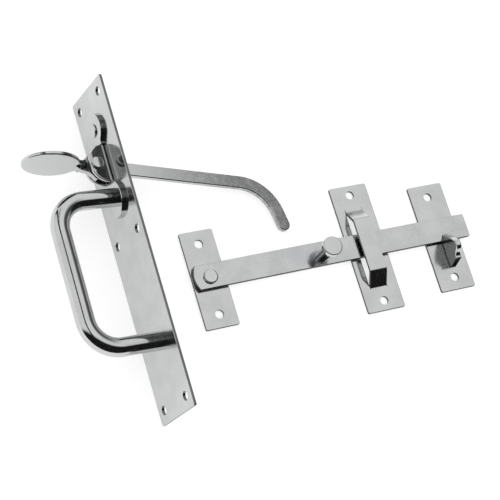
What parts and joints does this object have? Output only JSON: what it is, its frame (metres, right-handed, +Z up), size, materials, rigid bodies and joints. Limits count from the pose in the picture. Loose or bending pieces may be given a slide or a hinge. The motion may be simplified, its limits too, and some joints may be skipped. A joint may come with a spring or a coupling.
{
  "type": "thumb latch",
  "caption": "Suffolk style gate latch kit: handle plate with D grip and thumb lever, and a pivoted latch bar with its pivot plate, keeper strap plate and hooked catch plate.",
  "frame": {"origin": "middle of the laid-out kit's footprint, on the surface that it lies on", "axes": "+X along the latch bar from its pivot to its free end, +Y up the plates, +Z up out of the plates that lie flat; the handle set stands on its plate's long edge at the -X end"},
  "size_m": [0.3124, 0.23, 0.0485],
  "materials": {
    "bright_sheet": "bright zinc plating on pressed sheet steel, nearly a mirror, edges a little darker",
    "polished_round": "bright zinc plating on polished round steel",
    "plated_bar": "bright zinc plating on forged and rolled flat bar, duller and slightly grainy"
  },
  "bodies": {
    "kit_frame": {"handle_plate": "bright_sheet", "pivot_bracket": "bright_sheet", "bracket_rivet": "polished_round", "grip_handle": "polished_round", "lever_pin": "polished_round", "pivot_plate": "bright_sheet", "pivot_washer": "bright_sheet", "pivot_rivet": "polished_round", "keeper_plate": "bright_sheet", "catch_plate": "bright_sheet", "catch_hook": "plated_bar"},
    "lever": {"thumb_lever": "plated_bar"},
    "bar": {"latch_bar": "plated_bar", "latch_knob": "polished_round"}
  },
  "joints": [
    {"name": "thumb_lever_press", "type": "hinge", "parent": "kit_frame", "child": "lever", "pos_m": [-0.10729, 0.0595, 0.02597], "axis": [0.1788, 0, 0.9839], "range_deg": [0, 30]},
    {"name": "latch_bar_lift", "type": "hinge", "parent": "kit_frame", "child": "bar", "pos_m": [-0.0437, -0.0243, 0.00435], "axis": [0, 0, 1], "range_deg": [0, 4.8]}
  ]
}
